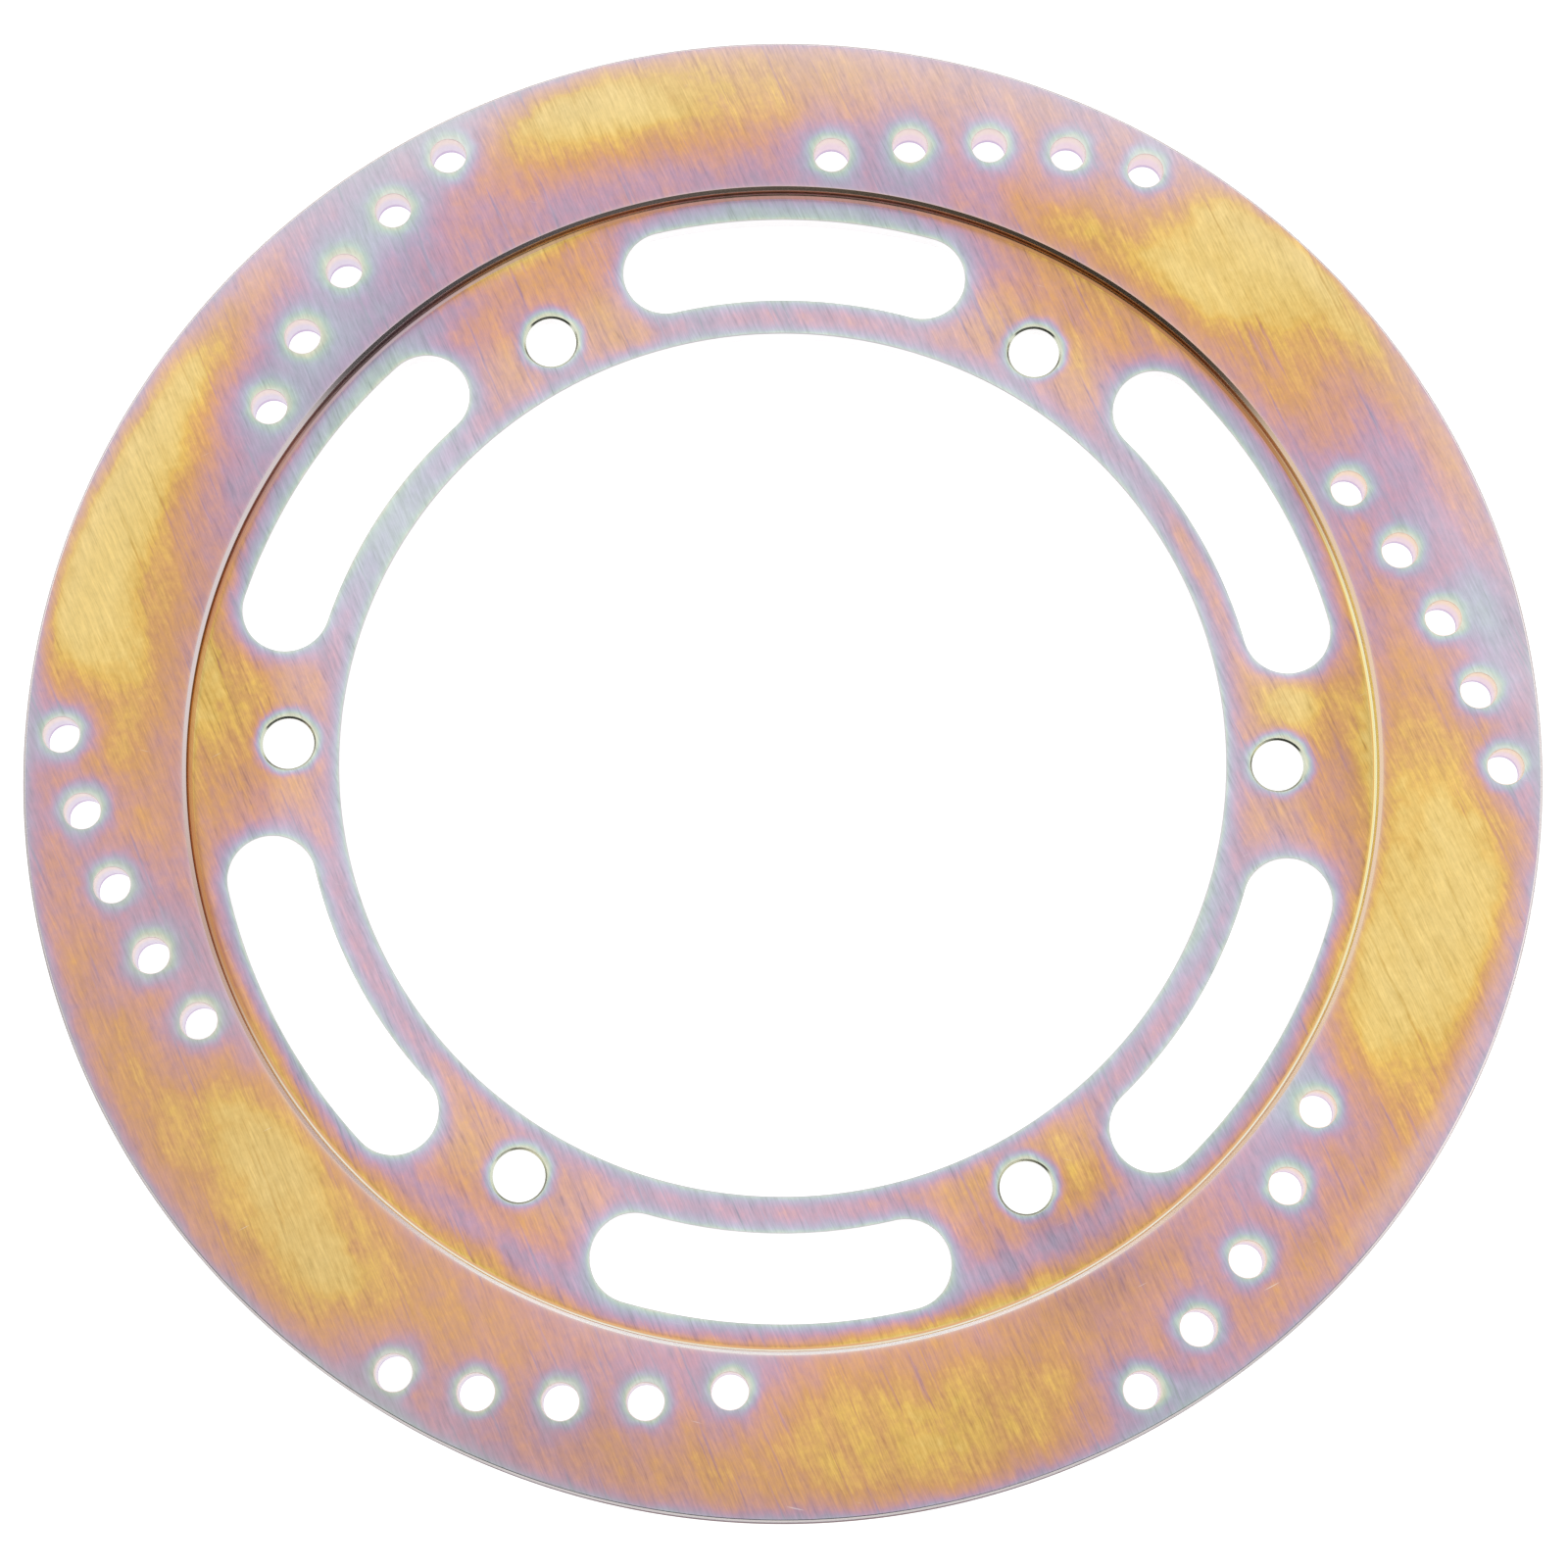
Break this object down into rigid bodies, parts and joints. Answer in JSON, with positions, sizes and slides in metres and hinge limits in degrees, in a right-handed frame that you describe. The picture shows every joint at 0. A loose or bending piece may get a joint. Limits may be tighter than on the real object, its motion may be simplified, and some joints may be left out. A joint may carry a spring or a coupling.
{
  "type": "motorcycle brake disc rotor",
  "caption": "Flat one-piece motorcycle brake disc with a recessed bolt-on flange, large centre bore, curved lightening slots and swept vent holes.",
  "frame": {"origin": "centre of the bore on the flat back face that seats on the wheel hub", "axes": "+Z along the wheel axis, out of the recessed outer side; +X through the centre of one fixing hole; +Y completes the right-handed frame, midway between two fixing holes"},
  "size_m": [0.25, 0.25, 0.006],
  "materials": {
    "disc_steel": "linear-brushed steel with an iridescent yellow passivation film, gold to pink, lilac and pale blue-green near the holes and edges"
  },
  "bodies": {
    "root": {"brake_disc": "disc_steel"}
  },
  "joints": []
}
